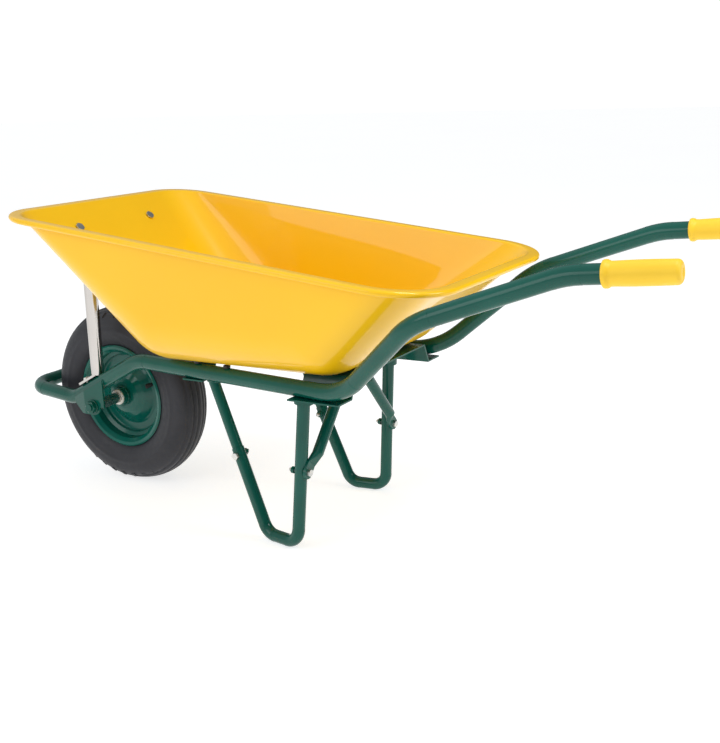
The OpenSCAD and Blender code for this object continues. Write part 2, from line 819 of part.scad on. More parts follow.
module on_axle(y) {
    translate([0, y, axle_z]) rotate([-90, 0, 0]) children();
}

module ring(r_out, r_in, h) {
    difference() {
        cylinder(r = r_out, h = h);
        translate([0, 0, -1]) cylinder(r = r_in, h = h + 2);
    }
}

module axle() {
    color("Silver") from_axle() on_axle(-axle_half) cylinder(r = axle_r, h = 2 * axle_half);
}

module axle_washers() {
    color("Silver") from_axle() for (s = [-1, 1]) side(-s) on_axle(washer_y) ring(axle_washer_r, axle_r + touch, axle_washer_t);
}

module axle_nuts() {
    color("Silver") from_axle() for (s = [-1, 1]) side(-s) on_axle(nut_y) difference() {
        cylinder(r = axle_nut_r, h = axle_nut_h, $fn = 6);
        translate([0, 0, -1]) cylinder(r = axle_r + 0.05, h = axle_nut_h + 2);
    }
}

bush_flange_t = 3;
bush_flange_r = 17;
bush_len = 22;
spacer_r = 12;
spacer_start = hub_half + bush_flange_t + free_gap;

module axle_spacers() {
    color("Silver") from_axle() for (s = [-1, 1]) side(-s) on_axle(spacer_start)
        ring(spacer_r, axle_r + touch, bracket_y - touch - spacer_start);
}

// ---------------------------------------------------------------- wheel
module hub() {
    color("DarkGreen") from_axle() on_axle(-hub_half) ring(hub_r, hub_bore_r, 2 * hub_half);
}

module hub_bushes() {
    color("White") from_axle() for (s = [-1, 1]) side(-s) difference() {
        union() {
            on_axle(hub_half - bush_len) cylinder(r = hub_bore_r - 0.02, h = bush_len + 1);
            on_axle(hub_half + 0.02) cylinder(r = bush_flange_r, h = bush_flange_t - 0.02);
        }
        on_axle(0) cylinder(r = axle_r + run_gap, h = far);
    }
}

// Section of one pressed rim half as a line of points [radius, distance from the wheel's middle]
rim_mid = rim_sheet / 2 + 0.05;
RIM = [
    [rim_flange_r, 36], [rim_flange_r - 3, 38.5], [rim_flange_r - 8, 37], [bead_r + 3, 33], [bead_r, 30],
    [bead_r - 1.5, 14], [92, 9], [90, rim_mid + 2], [87, rim_mid], [72, rim_mid], [66, rim_mid + 3],
    [52, 17], [40, 25], [30, 28], [hub_r + 0.05 + rim_sheet / 2, 28], [hub_r + 0.05 + rim_sheet / 2, 34]
];
function seg_n(p, i) = let (d = unit(p[i + 1] - p[i])) [-d[1], d[0]];
function pt_n(p, i) = i == 0 ? seg_n(p, 0) : i == len(p) - 1 ? seg_n(p, i - 1) :
    let (a = seg_n(p, i - 1), b = seg_n(p, i), m = unit(a + b)) m / (m * a);
function offset_line(p, d) = [for (i = [0:len(p) - 1]) p[i] + pt_n(p, i) * d];
function back(p) = [for (i = [len(p) - 1:-1:0]) p[i]];

valve_hole_r = 6.5;
valve_hole_at = 95;
valve_hole_y = 11.5;
valve_lean = 60;
module valve_place() {
    translate([0, 0, axle_z]) rotate([0, -valve_turn, 0]) translate([valve_hole_at, -valve_hole_y, 0])
        rotate([0, 0, valve_lean]) rotate([0, 90, 0]) children();
}

module rim_half() {
    on_axle(0) rotate_extrude($fn = 96) polygon(concat(
        offset_line(RIM, rim_sheet / 2), back(offset_line(RIM, -rim_sheet / 2))));
}

module rim_half_left() {
    color("DarkGreen") from_axle() difference() {
        mirror([0, 1, 0]) rim_half();
        valve_place() translate([0, 0, -20]) cylinder(r = valve_hole_r, h = 40);
    }
}

module rim_half_right() {
    color("DarkGreen") from_axle() rim_half();
}

// Tyre section: a rounded crown, full sidewalls and two beads on the rim
tyre_mid = (tyre_r + bead_r) / 2 + 2;
tyre_h = tyre_r - tyre_mid;
bead_y = 29;
tyre_t = 7;
tyre_steps = 14;
function sgn_pow(v, e) = sign(v) * pow(abs(v), e);
function tyre_pt(a, t) = [
    tyre_mid + (tyre_h - t) * sgn_pow(cos(a), 0.86),
    (tyre_w / 2 - t) * sgn_pow(sin(a), 0.86)
];
tyre_low = 140;
outer_arc = [for (i = [-tyre_steps:tyre_steps]) tyre_pt(i * tyre_low / tyre_steps, 0)];
inner_arc = [for (i = [tyre_steps:-1:-tyre_steps]) tyre_pt(i * tyre_low / tyre_steps, tyre_t)];

module tyre() {
    b = bead_r + rim_sheet / 2 + touch + 1.4;
    color("DimGray") from_axle() on_axle(0) rotate_extrude($fn = 128) polygon(concat(
        [[b, -18], [b, -bead_y]], outer_arc, [[b, bead_y], [b, 18]], inner_arc));
}

// Inner tube, filled out to the tyre's inside, open where the valve enters
tube_air_r = 33;
inner_tube_t = 2;
inner_tube_mid = tyre_mid - 2;
module inner_tube() {
    color("Black") from_axle() difference() {
        on_axle(0) rotate_extrude($fn = 96) translate([inner_tube_mid, 0]) difference() {
            circle(tube_air_r);
            circle(tube_air_r - inner_tube_t);
        }
        stem_base(stem_base_r + touch / 2);
    }
}

stem_r = 4;
stem_out = 24;
stem_elbow = 12;
cap_r = 5;
cap_len = 12;
cap_end = 3;
stem_base_r = 5;
stem_in = 16;

// Runs radially out from the elbow to the inner tube
module stem_base(r) {
    valve_place() translate([0, 0, stem_elbow]) rotate([0, -90, 0]) rotate([0, 0, -valve_lean]) rotate([0, 90, 0])
        cylinder(r = r, h = stem_in);
}

module valve_stem() {
    color("Black") from_axle() {
        valve_place() translate([0, 0, -stem_out]) cylinder(r = stem_r, h = stem_out + stem_elbow);
        valve_place() translate([0, 0, stem_elbow]) sphere(stem_base_r + 0.4);
        stem_base(stem_base_r);
    }
}

module valve_cap() {
    color("Black") from_axle() valve_place() translate([0, 0, -stem_out - cap_end]) difference() {
        cylinder(r = cap_r, h = cap_len);
        translate([0, 0, cap_end - touch / 2]) cylinder(r = stem_r + touch / 2, h = cap_len);
    }
}

frame_tube();
grip_left();
grip_right();
tray();
tray_pads();
tray_bolts();
tray_washers();
tray_nuts();
bridge_front();
bridge_rear();
leg_left();
leg_right();
leg_sockets();
stay_left();
stay_right();
stay_bolts();
stay_nuts();
cross_brace_left();
cross_brace_right();
cross_bolts();
cross_nuts();
brace_left();
brace_right();
brace_bolts();
brace_nuts();
wheel_bracket_left();
wheel_bracket_right();
axle();
axle_washers();
axle_nuts();
axle_spacers();
hub();
hub_bushes();
rim_half_left();
rim_half_right();
tyre();
inner_tube();
valve_stem();
valve_cap();
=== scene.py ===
# %% [markdown]
# # A builder's barrow, finished and lit
# The barrow's sizes were settled in CAD. Blender adds what CAD solids lack: a pressed sheet tray
# with a rolled edge, tyre lugs, chamfered bolts, weld seams, and finishes with depth. Everything
# is in metres. X runs from the wheel to the handles, and Z is up from the floor.

# %% Load the frame
import json
import math

import bmesh
import bpy
import numpy as np
from mathutils import Matrix, Vector
from mathutils.bvhtree import BVHTree


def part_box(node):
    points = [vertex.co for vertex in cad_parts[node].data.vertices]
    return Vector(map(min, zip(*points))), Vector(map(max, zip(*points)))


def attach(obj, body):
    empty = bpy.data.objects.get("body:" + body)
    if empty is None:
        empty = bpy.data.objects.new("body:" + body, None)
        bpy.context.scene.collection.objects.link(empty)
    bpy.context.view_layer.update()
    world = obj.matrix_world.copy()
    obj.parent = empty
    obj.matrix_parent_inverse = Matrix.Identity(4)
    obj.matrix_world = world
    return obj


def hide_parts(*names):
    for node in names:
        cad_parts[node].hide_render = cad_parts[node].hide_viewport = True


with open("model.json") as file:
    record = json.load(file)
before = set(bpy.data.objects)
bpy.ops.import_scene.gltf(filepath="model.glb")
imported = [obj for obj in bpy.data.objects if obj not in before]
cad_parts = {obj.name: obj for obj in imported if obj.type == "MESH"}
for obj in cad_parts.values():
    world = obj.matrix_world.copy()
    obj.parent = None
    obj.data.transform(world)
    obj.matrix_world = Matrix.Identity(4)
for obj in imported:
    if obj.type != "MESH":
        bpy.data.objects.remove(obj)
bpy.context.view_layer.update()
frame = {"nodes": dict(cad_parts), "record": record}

nodes = frame["nodes"]

# %% [markdown]
# The camera stands low at the left rear corner, about two metres off, so that the nose, the
# tray's inside and both handles show. Its slight roll keeps the barrow's own lean in view.

# %% Camera
CAMERA_AT = Vector((1.1280, -1.6770, 0.8510))
CAMERA_TO = Vector((0.0986, 0.0, 0.3165))
ROLL_DEG = -1.889
LENS_MM = 52.345
SENSOR_MM = 36.0

camera_data = bpy.data.cameras.new("camera")
camera_data.sensor_width = SENSOR_MM
camera_data.sensor_fit = "HORIZONTAL"
camera_data.lens = LENS_MM
camera = bpy.data.objects.new("camera", camera_data)
bpy.context.scene.collection.objects.link(camera)
look = (CAMERA_TO - CAMERA_AT).to_track_quat("-Z", "Y").to_matrix().to_4x4()
roll = Matrix.Rotation(math.radians(ROLL_DEG), 4, "Z")
camera.matrix_world = Matrix.Translation(CAMERA_AT) @ look @ roll
bpy.context.scene.camera = camera
print("lens", round(camera_data.lens, 2), "mm")

# %% [markdown]
# Gloss paint is only as good as what it reflects, so the room is kept half dark: a deep colour
# then stays deep, and the lamps draw thin bright lines along the tubes. The camera still sees a
# white room. The overhead lamp is the one that the tray's far front corner mirrors as a strip.

# %% World, floor and lamps
scene = bpy.context.scene
scene.view_settings.view_transform = "Standard"
ROOM_LIGHT = 0.40
world = bpy.data.worlds.new("pale_room")
scene.world = world
world.use_nodes = True
tree = world.node_tree
soft = tree.nodes["Background"]
soft.inputs["Color"].default_value = (0.93, 0.97, 1.0, 1)
seen = tree.nodes.new("ShaderNodeBackground")
seen.inputs["Color"].default_value = (1, 1, 1, 1)
seen.inputs["Strength"].default_value = 1.05
ray = tree.nodes.new("ShaderNodeLightPath")
pick = tree.nodes.new("ShaderNodeMixShader")
way = tree.nodes.new("ShaderNodeTexCoord")
toward = tree.nodes.new("ShaderNodeVectorMath")
toward.operation = "DOT_PRODUCT"
toward.inputs[1].default_value = (-0.62, -0.45, 0.64)
level = tree.nodes.new("ShaderNodeMapRange")
level.interpolation_type = "SMOOTHSTEP"
level.inputs["From Min"].default_value = -0.15
level.inputs["From Max"].default_value = 0.85
level.inputs["To Min"].default_value = ROOM_LIGHT * 0.28
level.inputs["To Max"].default_value = ROOM_LIGHT * 1.9
tree.links.new(way.outputs["Generated"], toward.inputs[0])
tree.links.new(toward.outputs["Value"], level.inputs["Value"])
tree.links.new(level.outputs["Result"], soft.inputs["Strength"])
tree.links.new(ray.outputs["Is Camera Ray"], pick.inputs[0])
tree.links.new(soft.outputs[0], pick.inputs[1])
tree.links.new(seen.outputs[0], pick.inputs[2])
tree.links.new(pick.outputs[0], tree.nodes["World Output"].inputs["Surface"])


def lamp(name, at, to, size, watts, tint=(1, 1, 1)):
    data = bpy.data.lights.new(name, "AREA")
    data.shape = "RECTANGLE"
    data.size, data.size_y = size
    data.energy = watts
    data.color = tint
    o = bpy.data.objects.new(name, data)
    o.location = at
    o.rotation_euler = (Vector(to) - Vector(at)).to_track_quat("-Z", "Y").to_euler()
    scene.collection.objects.link(o)
    return o


lamp("overhead", (0.97, -0.13, 2.58), (-0.3, 0.1, 0.4), (0.30, 1.1), 26)
lamp("key", (2.6, 0.5, 1.9), (0, 0, 0.3), (1.2, 1.2), 28, (0.94, 0.98, 1.0))
lamp("fill", (-1.2, -2.7, 1.7), (0, 0, 0.3), (2.0, 1.6), 20)

floor_mesh = bpy.data.meshes.new("floor")
FLOOR = 30.0
corners = [(-FLOOR, -FLOOR, 0), (FLOOR, -FLOOR, 0), (FLOOR, FLOOR, 0), (-FLOOR, FLOOR, 0)]
floor_mesh.from_pydata(corners, [], [(0, 1, 2, 3)])
floor = bpy.data.objects.new("floor", floor_mesh)
scene.collection.objects.link(floor)

# %% [markdown]
# ## Reusable effects
# Several finishes share an effect, so each one is a node group with named inputs, built once.
# `mottle` breaks up any even value, because no real coat is even. `film` is the faint
# orange-peel ripple of sprayed enamel. `low_spots` gives a mask of spots that fade out upwards from
# the floor.


# %% Node group helpers
def group(name, inputs, outputs):
    """A shader group with its sockets, and its input and output nodes."""
    tree = bpy.data.node_groups.new(name, "ShaderNodeTree")
    for label, kind, value in inputs:
        socket = tree.interface.new_socket(label, in_out="INPUT", socket_type=kind)
        if value is not None:
            socket.default_value = value
    for label, kind in outputs:
        tree.interface.new_socket(label, in_out="OUTPUT", socket_type=kind)
    return tree, tree.nodes.new("NodeGroupInput"), tree.nodes.new("NodeGroupOutput")


def node(tree, kind, **settings):
    n = tree.nodes.new(kind)
    for key, value in settings.items():
        setattr(n, key, value)
    return n


FLOAT, VECTOR = "NodeSocketFloat", "NodeSocketVector"
print("socket kinds used:", FLOAT, VECTOR)

# %% [markdown]
# `mottle` is broad noise stretched to run from Low to High, for colours and roughness alike.

# %% Mottle
mottle, g_in, g_out = group(
    "mottle",
    [("Vector", VECTOR, None), ("Scale", FLOAT, 8.0), ("Low", FLOAT, 0.0), ("High", FLOAT, 1.0)],
    [("Value", FLOAT)],
)
noise = node(mottle, "ShaderNodeTexNoise")
noise.inputs["Detail"].default_value = 5.0
spread = node(mottle, "ShaderNodeMapRange")
spread.inputs["From Min"].default_value = 0.3
spread.inputs["From Max"].default_value = 0.7
mottle.links.new(g_in.outputs["Vector"], noise.inputs["Vector"])
mottle.links.new(g_in.outputs["Scale"], noise.inputs["Scale"])
mottle.links.new(noise.outputs["Fac"], spread.inputs["Value"])
mottle.links.new(g_in.outputs["Low"], spread.inputs["To Min"])
mottle.links.new(g_in.outputs["High"], spread.inputs["To Max"])
mottle.links.new(spread.outputs["Result"], g_out.inputs["Value"])
print("mottle:", len(mottle.nodes), "nodes")

# %% [markdown]
# `film` gives a normal, so a finish keeps its smooth shape and only its reflections waver.

# %% Film ripple
film, g_in, g_out = group(
    "film",
    [("Vector", VECTOR, None), ("Scale", FLOAT, 220.0), ("Strength", FLOAT, 0.1)],
    [("Normal", VECTOR)],
)
noise = node(film, "ShaderNodeTexNoise")
noise.inputs["Detail"].default_value = 2.0
bump = node(film, "ShaderNodeBump")
bump.inputs["Distance"].default_value = 0.0006
film.links.new(g_in.outputs["Vector"], noise.inputs["Vector"])
film.links.new(g_in.outputs["Scale"], noise.inputs["Scale"])
film.links.new(noise.outputs["Fac"], bump.inputs["Height"])
film.links.new(g_in.outputs["Strength"], bump.inputs["Strength"])
film.links.new(bump.outputs["Normal"], g_out.inputs["Normal"])
print("film:", len(film.nodes), "nodes")

# %% [markdown]
# This group is two masks multiplied: a fade from the floor up to Height, and spotty noise.

# %% Spots near the floor
low_spots, g_in, g_out = group(
    "low_spots",
    [("Vector", VECTOR, None), ("Height", FLOAT, 0.03), ("Scale", FLOAT, 90.0),
     ("Amount", FLOAT, 0.5)],
    [("Mask", FLOAT)],
)
split = node(low_spots, "ShaderNodeSeparateXYZ")
fade = node(low_spots, "ShaderNodeMapRange")
fade.inputs["To Min"].default_value = 1.0
fade.inputs["To Max"].default_value = 0.0
noise = node(low_spots, "ShaderNodeTexNoise")
noise.inputs["Detail"].default_value = 6.0
noise.inputs["Roughness"].default_value = 0.7
cut = node(low_spots, "ShaderNodeMapRange")
cut.inputs["From Min"].default_value = 0.52
cut.inputs["From Max"].default_value = 0.66
both = node(low_spots, "ShaderNodeMath", operation="MULTIPLY")
dial = node(low_spots, "ShaderNodeMath", operation="MULTIPLY")
low_spots.links.new(g_in.outputs["Vector"], split.inputs[0])
low_spots.links.new(split.outputs["Z"], fade.inputs["Value"])
low_spots.links.new(g_in.outputs["Height"], fade.inputs["From Max"])
low_spots.links.new(g_in.outputs["Vector"], noise.inputs["Vector"])
low_spots.links.new(g_in.outputs["Scale"], noise.inputs["Scale"])
low_spots.links.new(noise.outputs["Fac"], cut.inputs["Value"])
low_spots.links.new(fade.outputs["Result"], both.inputs[0])
low_spots.links.new(cut.outputs["Result"], both.inputs[1])
low_spots.links.new(both.outputs[0], dial.inputs[0])
low_spots.links.new(g_in.outputs["Amount"], dial.inputs[1])
low_spots.links.new(dial.outputs[0], g_out.inputs["Mask"])
print("groups:", [g.name for g in bpy.data.node_groups])

# %% [markdown]
# ## Finishes
# `finish` lays out what every material here has in common: a colour that drifts a little between
# two tones, a roughness that drifts with it, the film ripple on the normal, and spots of a second
# colour that fade out upwards from the floor. Each call then says what is particular to that
# finish.


# %% A finish
def finish(name, tones, rough, metal=0.0, coat=0.0, coat_rough=0.05, spread=7.0,
           ripple=(220.0, 0.1), low_tone=None, low_height=0.03, low_amount=0.0, specular=0.5):
    """A Principled material whose colour, roughness and normal change over the surface."""
    m = bpy.data.materials.new(name)
    m.use_nodes = True
    t = m.node_tree
    shader = t.nodes["Principled BSDF"]
    place = node(t, "ShaderNodeTexCoord")
    broad = node(t, "ShaderNodeGroup")
    broad.node_tree = mottle
    broad.inputs["Scale"].default_value = spread
    t.links.new(place.outputs["Object"], broad.inputs["Vector"])
    mix = node(t, "ShaderNodeMix", data_type="RGBA")
    mix.inputs["A"].default_value = (*tones[0], 1)
    mix.inputs["B"].default_value = (*tones[1], 1)
    t.links.new(broad.outputs["Value"], mix.inputs["Factor"])
    colour = mix.outputs["Result"]
    fine = node(t, "ShaderNodeGroup")
    fine.node_tree = mottle
    fine.inputs["Scale"].default_value = spread * 9
    fine.inputs["Low"].default_value = rough[0]
    fine.inputs["High"].default_value = rough[1]
    t.links.new(place.outputs["Object"], fine.inputs["Vector"])
    t.links.new(fine.outputs["Value"], shader.inputs["Roughness"])
    # A second colour in spots, strongest at the floor and fading out by the given height.
    if low_tone:
        spots = node(t, "ShaderNodeGroup")
        spots.node_tree = low_spots
        spots.inputs["Height"].default_value = low_height
        spots.inputs["Amount"].default_value = low_amount
        t.links.new(place.outputs["Object"], spots.inputs["Vector"])
        over = node(t, "ShaderNodeMix", data_type="RGBA")
        over.inputs["B"].default_value = (*low_tone, 1)
        t.links.new(spots.outputs["Mask"], over.inputs["Factor"])
        t.links.new(colour, over.inputs["A"])
        colour = over.outputs["Result"]
    t.links.new(colour, shader.inputs["Base Color"])
    peel = node(t, "ShaderNodeGroup")
    peel.node_tree = film
    peel.inputs["Scale"].default_value = ripple[0]
    peel.inputs["Strength"].default_value = ripple[1]
    t.links.new(place.outputs["Object"], peel.inputs["Vector"])
    t.links.new(peel.outputs["Normal"], shader.inputs["Normal"])
    shader.inputs["Metallic"].default_value = metal
    shader.inputs["Coat Weight"].default_value = coat
    shader.inputs["Coat Roughness"].default_value = coat_rough
    shader.inputs["Specular IOR Level"].default_value = specular
    return m


# %% [markdown]
# Each line below names two tones, a range of roughness, and what is special to that finish. The
# floor glows a little, so it stays white between the lamps and its shadows stay soft.

# %% The finishes
# The frame gets darker grey-green spots that fade out within 20 mm above the floor.
green = finish("green_enamel", [(0.002, 0.070, 0.050), (0.003, 0.090, 0.066)], (0.14, 0.22),
               coat=0.12, coat_rough=0.03, low_tone=(0.02, 0.03, 0.028), low_height=0.02,
               low_amount=0.8, specular=0.26)
wheel_green = finish("wheel_enamel", [(0.001, 0.095, 0.072), (0.002, 0.120, 0.090)],
                     (0.16, 0.25), coat=0.15, specular=0.3)
yellow = finish("yellow_enamel", [(0.92, 0.52, 0.003), (0.95, 0.56, 0.004)], (0.28, 0.34),
                coat=0.5, coat_rough=0.03, spread=2.5, ripple=(26.0, 0.03), specular=0.2)
grip_yellow = finish("grip_plastic", [(0.90, 0.56, 0.03), (0.94, 0.60, 0.04)], (0.38, 0.5),
                     ripple=(900.0, 0.25), specular=0.3)
# The tyre gets lighter grey spots that fade out upwards from the floor over its whole height.
tyre_black = finish("tyre_rubber", [(0.010, 0.011, 0.015), (0.020, 0.020, 0.027)], (0.42, 0.55),
                    spread=14.0, ripple=(700.0, 0.2), low_tone=(0.04, 0.038, 0.036),
                    low_height=0.4, low_amount=0.2, specular=0.4)
plain_rubber = finish("plain_rubber", [(0.012, 0.012, 0.013), (0.02, 0.02, 0.021)], (0.5, 0.65),
                      ripple=(800.0, 0.2))
chrome = finish("plated_tube", [(0.52, 0.49, 0.46), (0.62, 0.59, 0.56)], (0.07, 0.14),
                metal=1.0, ripple=(120.0, 0.05))
zinc = finish("zinc_plate", [(0.55, 0.55, 0.53), (0.68, 0.67, 0.64)], (0.28, 0.42),
              metal=1.0, spread=40.0)
steel = finish("bright_steel", [(0.45, 0.45, 0.44), (0.55, 0.55, 0.54)], (0.22, 0.36),
               metal=1.0, spread=30.0)
nylon = finish("nylon", [(0.76, 0.74, 0.68), (0.82, 0.80, 0.75)], (0.4, 0.5), ripple=(500.0, 0.1))
paving = finish("paving", [(0.56, 0.56, 0.56), (0.58, 0.58, 0.58)], (0.7, 0.8), spread=0.6,
                specular=0.1)
paving.node_tree.nodes["Principled BSDF"].inputs["Emission Color"].default_value = (1, 1, 1, 1)
paving.node_tree.nodes["Principled BSDF"].inputs["Emission Strength"].default_value = 0.72
floor.data.materials.append(paving)
print("finishes:", len(bpy.data.materials))

# %% [markdown]
# The CAD nodes whose shape is already right keep it and only change coat. Each one is matched to
# a finish by the record's slot, so a node that is added later still gets one. The axle's ends
# were sprayed with the frame, so it takes the frame's green.

# %% Coat the CAD nodes
BY_SLOT = {
    "frame_paint": green, "rim_paint": wheel_green, "tray_paint": yellow,
    "grip_rubber": grip_yellow, "brace_chrome": chrome, "tyre_rubber": tyre_black,
    "black_rubber": plain_rubber, "zinc_steel": zinc, "bare_steel": steel, "bush_plastic": nylon,
}
slot_of = {s["node"]: s["material_slot"] for s in frame["record"]["subparts"]}
SPRAYED_OVER = ("axle",)
for name, o in nodes.items():
    for s in o.material_slots:
        s.material = green if name in SPRAYED_OVER else BY_SLOT[slot_of[name]]
print({k: sum(v == k for v in slot_of.values()) for k in BY_SLOT})

# %% [markdown]
# ## Geometry helpers
# Every piece that follows is a mesh at the origin, with its place in its vertices, so its
# textures lie still when the wheel turns. `mesh_piece` makes one, `settle` runs a node tree on
# one and keeps the plain mesh that comes out.


# %% Make a piece, run a node tree
def mesh_piece(name, verts, faces, material=None, smooth=True):
    mesh = bpy.data.meshes.new(name)
    mesh.from_pydata([tuple(v) for v in verts], [], faces)
    mesh.validate()
    if material:
        mesh.materials.append(material)
    o = bpy.data.objects.new(name, mesh)
    scene.collection.objects.link(o)
    if smooth:
        mesh.polygons.foreach_set("use_smooth", [True] * len(mesh.polygons))
    return o


def settle(o, tree, **inputs):
    """Runs a geometry node tree on o with inputs set by name, and keeps the mesh it makes."""
    mod = o.modifiers.new("nodes", "NODES")
    mod.node_group = tree
    ids = {s.name: s.identifier for s in tree.interface.items_tree
           if s.item_type == "SOCKET" and s.in_out == "INPUT"}
    for key, value in inputs.items():
        mod[ids[key.replace("_", " ")]] = value
    bpy.context.view_layer.update()
    mesh = bpy.data.meshes.new_from_object(o.evaluated_get(bpy.context.evaluated_depsgraph_get()))
    o.modifiers.remove(mod)
    o.data = mesh
    return o


def tidy(o, gap=1e-5):
    """Merges vertices that meet and turns every face outward."""
    bm = bmesh.new()
    bm.from_mesh(o.data)
    bmesh.ops.remove_doubles(bm, verts=bm.verts, dist=gap)
    bmesh.ops.dissolve_degenerate(bm, dist=gap, edges=bm.edges)
    bmesh.ops.recalc_face_normals(bm, faces=bm.faces)
    bm.to_mesh(o.data)
    bm.free()
    return o


def hand_over(o, body, slot, *nodes_out):
    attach(o, body)
    if nodes_out:
        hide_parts(*nodes_out)
    return o


def cloud(name):
    """A CAD node's vertices, in metres."""
    data = nodes[name].data
    v = np.empty(len(data.vertices) * 3)
    data.vertices.foreach_get("co", v)
    return v.reshape(-1, 3)


def solids(name):
    """A CAD node's vertices, one array for each separate solid in it."""
    bm = bmesh.new()
    bm.from_mesh(nodes[name].data)
    bmesh.ops.remove_doubles(bm, verts=bm.verts, dist=1e-6)
    left, found = set(bm.verts), []
    while left:
        stack, part = [left.pop()], []
        while stack:
            v = stack.pop()
            part.append(v.co[:])
            for e in v.link_edges:
                w = e.other_vert(v)
                if w in left:
                    left.remove(w)
                    stack.append(w)
        found.append(np.array(part))
    bm.free()
    return sorted(found, key=lambda p: tuple(p.mean(0).round(3)))


print("helpers ready; tray has", len(solids("tray")), "solid")

# %% [markdown]
# ## The pressed tray
# A tray like this is pressed from one sheet. Its wall is the surface a ruler sweeps when it
# touches the rim and a ball at each bottom corner. For a wall that faces direction `t`, its
# slope follows from one equation, so each wall line is found without searching. The rim is
# rolled over a wire: the bead is what stops the sheet edge from cutting hands. The surface made
# here is the sheet's outer and under side, so its thickness grows up and in from it.

# %% Tray sizes
low, high = (np.array(c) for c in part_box("tray"))
RIM_TILT, FLOOR_TILT = math.radians(6.0), math.radians(1.047)
RIM_LONG, RIM_HALF = 0.975, high[1]
R_FRONT, R_REAR = 0.093, 0.120
LIP, BEAD, BEND, SHEET = 0.022, 0.0055, 0.004, 0.0016
BALL, BALL_Y = 0.110, 0.130
BALL_X = (-0.2324, 0.1105)
floor_mount = next(m for m in frame["record"]["mounts"] if m["name"] == "tray_floor")
FLOOR_AT = np.array(floor_mount["pos_m"]) - SHEET * np.array(floor_mount["axis"])
rim_at = np.array([low[0], 0.0, high[2]])
x_rim = np.array([math.cos(RIM_TILT), 0, -math.sin(RIM_TILT)])
z_rim = np.array([math.sin(RIM_TILT), 0, math.cos(RIM_TILT)])
x_bed = np.array([math.cos(FLOOR_TILT), 0, math.sin(FLOOR_TILT)])
z_bed = np.array([-math.sin(FLOOR_TILT), 0, math.cos(FLOOR_TILT)])
Y = np.array([0, 1.0, 0])


def ball_centre(end, side):
    along = (BALL_X[end] - FLOOR_AT[0]) / x_bed[0]
    return FLOOR_AT + x_bed * along + Y * side * BALL_Y + z_bed * BALL


def to_rim(p):
    d = p - rim_at
    return np.array([d @ x_rim, d[1], d @ z_rim])


# Corners, anticlockwise from the rear right: arc centre, arc radius, first angle, ball.
CORNERS = []
for k, (end, side) in enumerate([(1, 1), (0, 1), (0, -1), (1, -1)]):
    r = R_REAR if end else R_FRONT
    centre = np.array([RIM_LONG - r if end else r, side * (RIM_HALF - r), 0.0])
    CORNERS.append((centre, r, 90.0 * k, to_rim(ball_centre(end, side))))
DOWN = np.array([-z_bed @ x_rim, 0.0, -z_bed @ z_rim])


def wall_line(centre, r, t, ball):
    """One line of the tray: (rim arc centre, radius, outward direction, ball, wall normal)."""
    n = np.array([math.cos(t), math.sin(t), 0.0])
    d = centre - ball
    reach = d @ n + (r - LIP)
    size = math.hypot(reach, d[2])
    slope = math.acos(min(1.0, BALL / size)) - math.atan2(d[2], reach)
    return centre, r, n, ball, n * math.cos(slope) - np.array([0, 0, math.sin(slope)])


def tray_profile(line):
    """Points from the rolled edge over the lip, down the wall and the ball to the floor."""
    centre, r, n, ball, face = line
    lift = np.array([0, 0, 1.0])
    curl = BEAD - SHEET
    pts = []
    for a in np.radians(np.linspace(-150, 90, 15)):
        out, up = r - BEAD + curl * math.cos(a), curl * math.sin(a) - BEAD
        pts.append(centre + n * out + lift * up)
    top = centre + n * (r - LIP) - lift * SHEET
    foot = ball + BALL * face
    down = (foot - top) / np.linalg.norm(foot - top)
    for s in (1.0, 0.55, 0.2):
        pull = 1 - s
        pts.append(top + n * (BEND * s - 0.0006 * pull) + down * 0.0012 * pull ** 2)
    for s in (0.3, 1.0):
        pts.append(top + down * BEND * s)
    for s in np.linspace(0, 1, 10)[1:-1]:
        pts.append(top + down * BEND + (foot - top - down * BEND) * s)
    turn = math.acos(float(np.clip(face @ DOWN, -1, 1)))
    for s in np.linspace(0, 1, 16):
        mixed = (math.sin((1 - s) * turn) * face + math.sin(s * turn) * DOWN) / math.sin(turn)
        pts.append(ball + BALL * mixed)
    return pts


print("wall angles come from a rim tilted", math.degrees(RIM_TILT), "degrees")

# %% [markdown]
# The four corners turn on the spot and the four sides slide from one ball to the next, so the
# sides' lowest points form a grid that the flat floor can meet point for point.

# %% Loft the tray
ARC, LONG, SHORT = 14, 22, 14
lines = []
for k, (centre, r, start, ball) in enumerate(CORNERS):
    for i in range(ARC + 1):
        lines.append(wall_line(centre, r, math.radians(start + 90 * i / ARC), ball))
    c2, r2, _, ball2 = CORNERS[(k + 1) % 4]
    end = math.radians(start + 90)
    a, b = wall_line(centre, r, end, ball), wall_line(c2, r2, end, ball2)
    steps = LONG if k % 2 == 0 else SHORT
    for i in range(1, steps):
        s = i / steps
        face = a[4] * (1 - s) + b[4] * s
        lines.append((a[0] * (1 - s) + b[0] * s, a[1] * (1 - s) + b[1] * s, a[2],
                      a[3] * (1 - s) + b[3] * s, face / np.linalg.norm(face)))
rings = [tray_profile(line) for line in lines]
deep, around = len(rings[0]), len(rings)
verts = [rim_at + p[0] * x_rim + p[1] * Y + p[2] * z_rim for ring in rings for p in ring]
faces = []
for i in range(around):
    j = (i + 1) % around
    for k in range(deep - 1):
        faces.append((i * deep + k, j * deep + k, j * deep + k + 1, i * deep + k + 1))
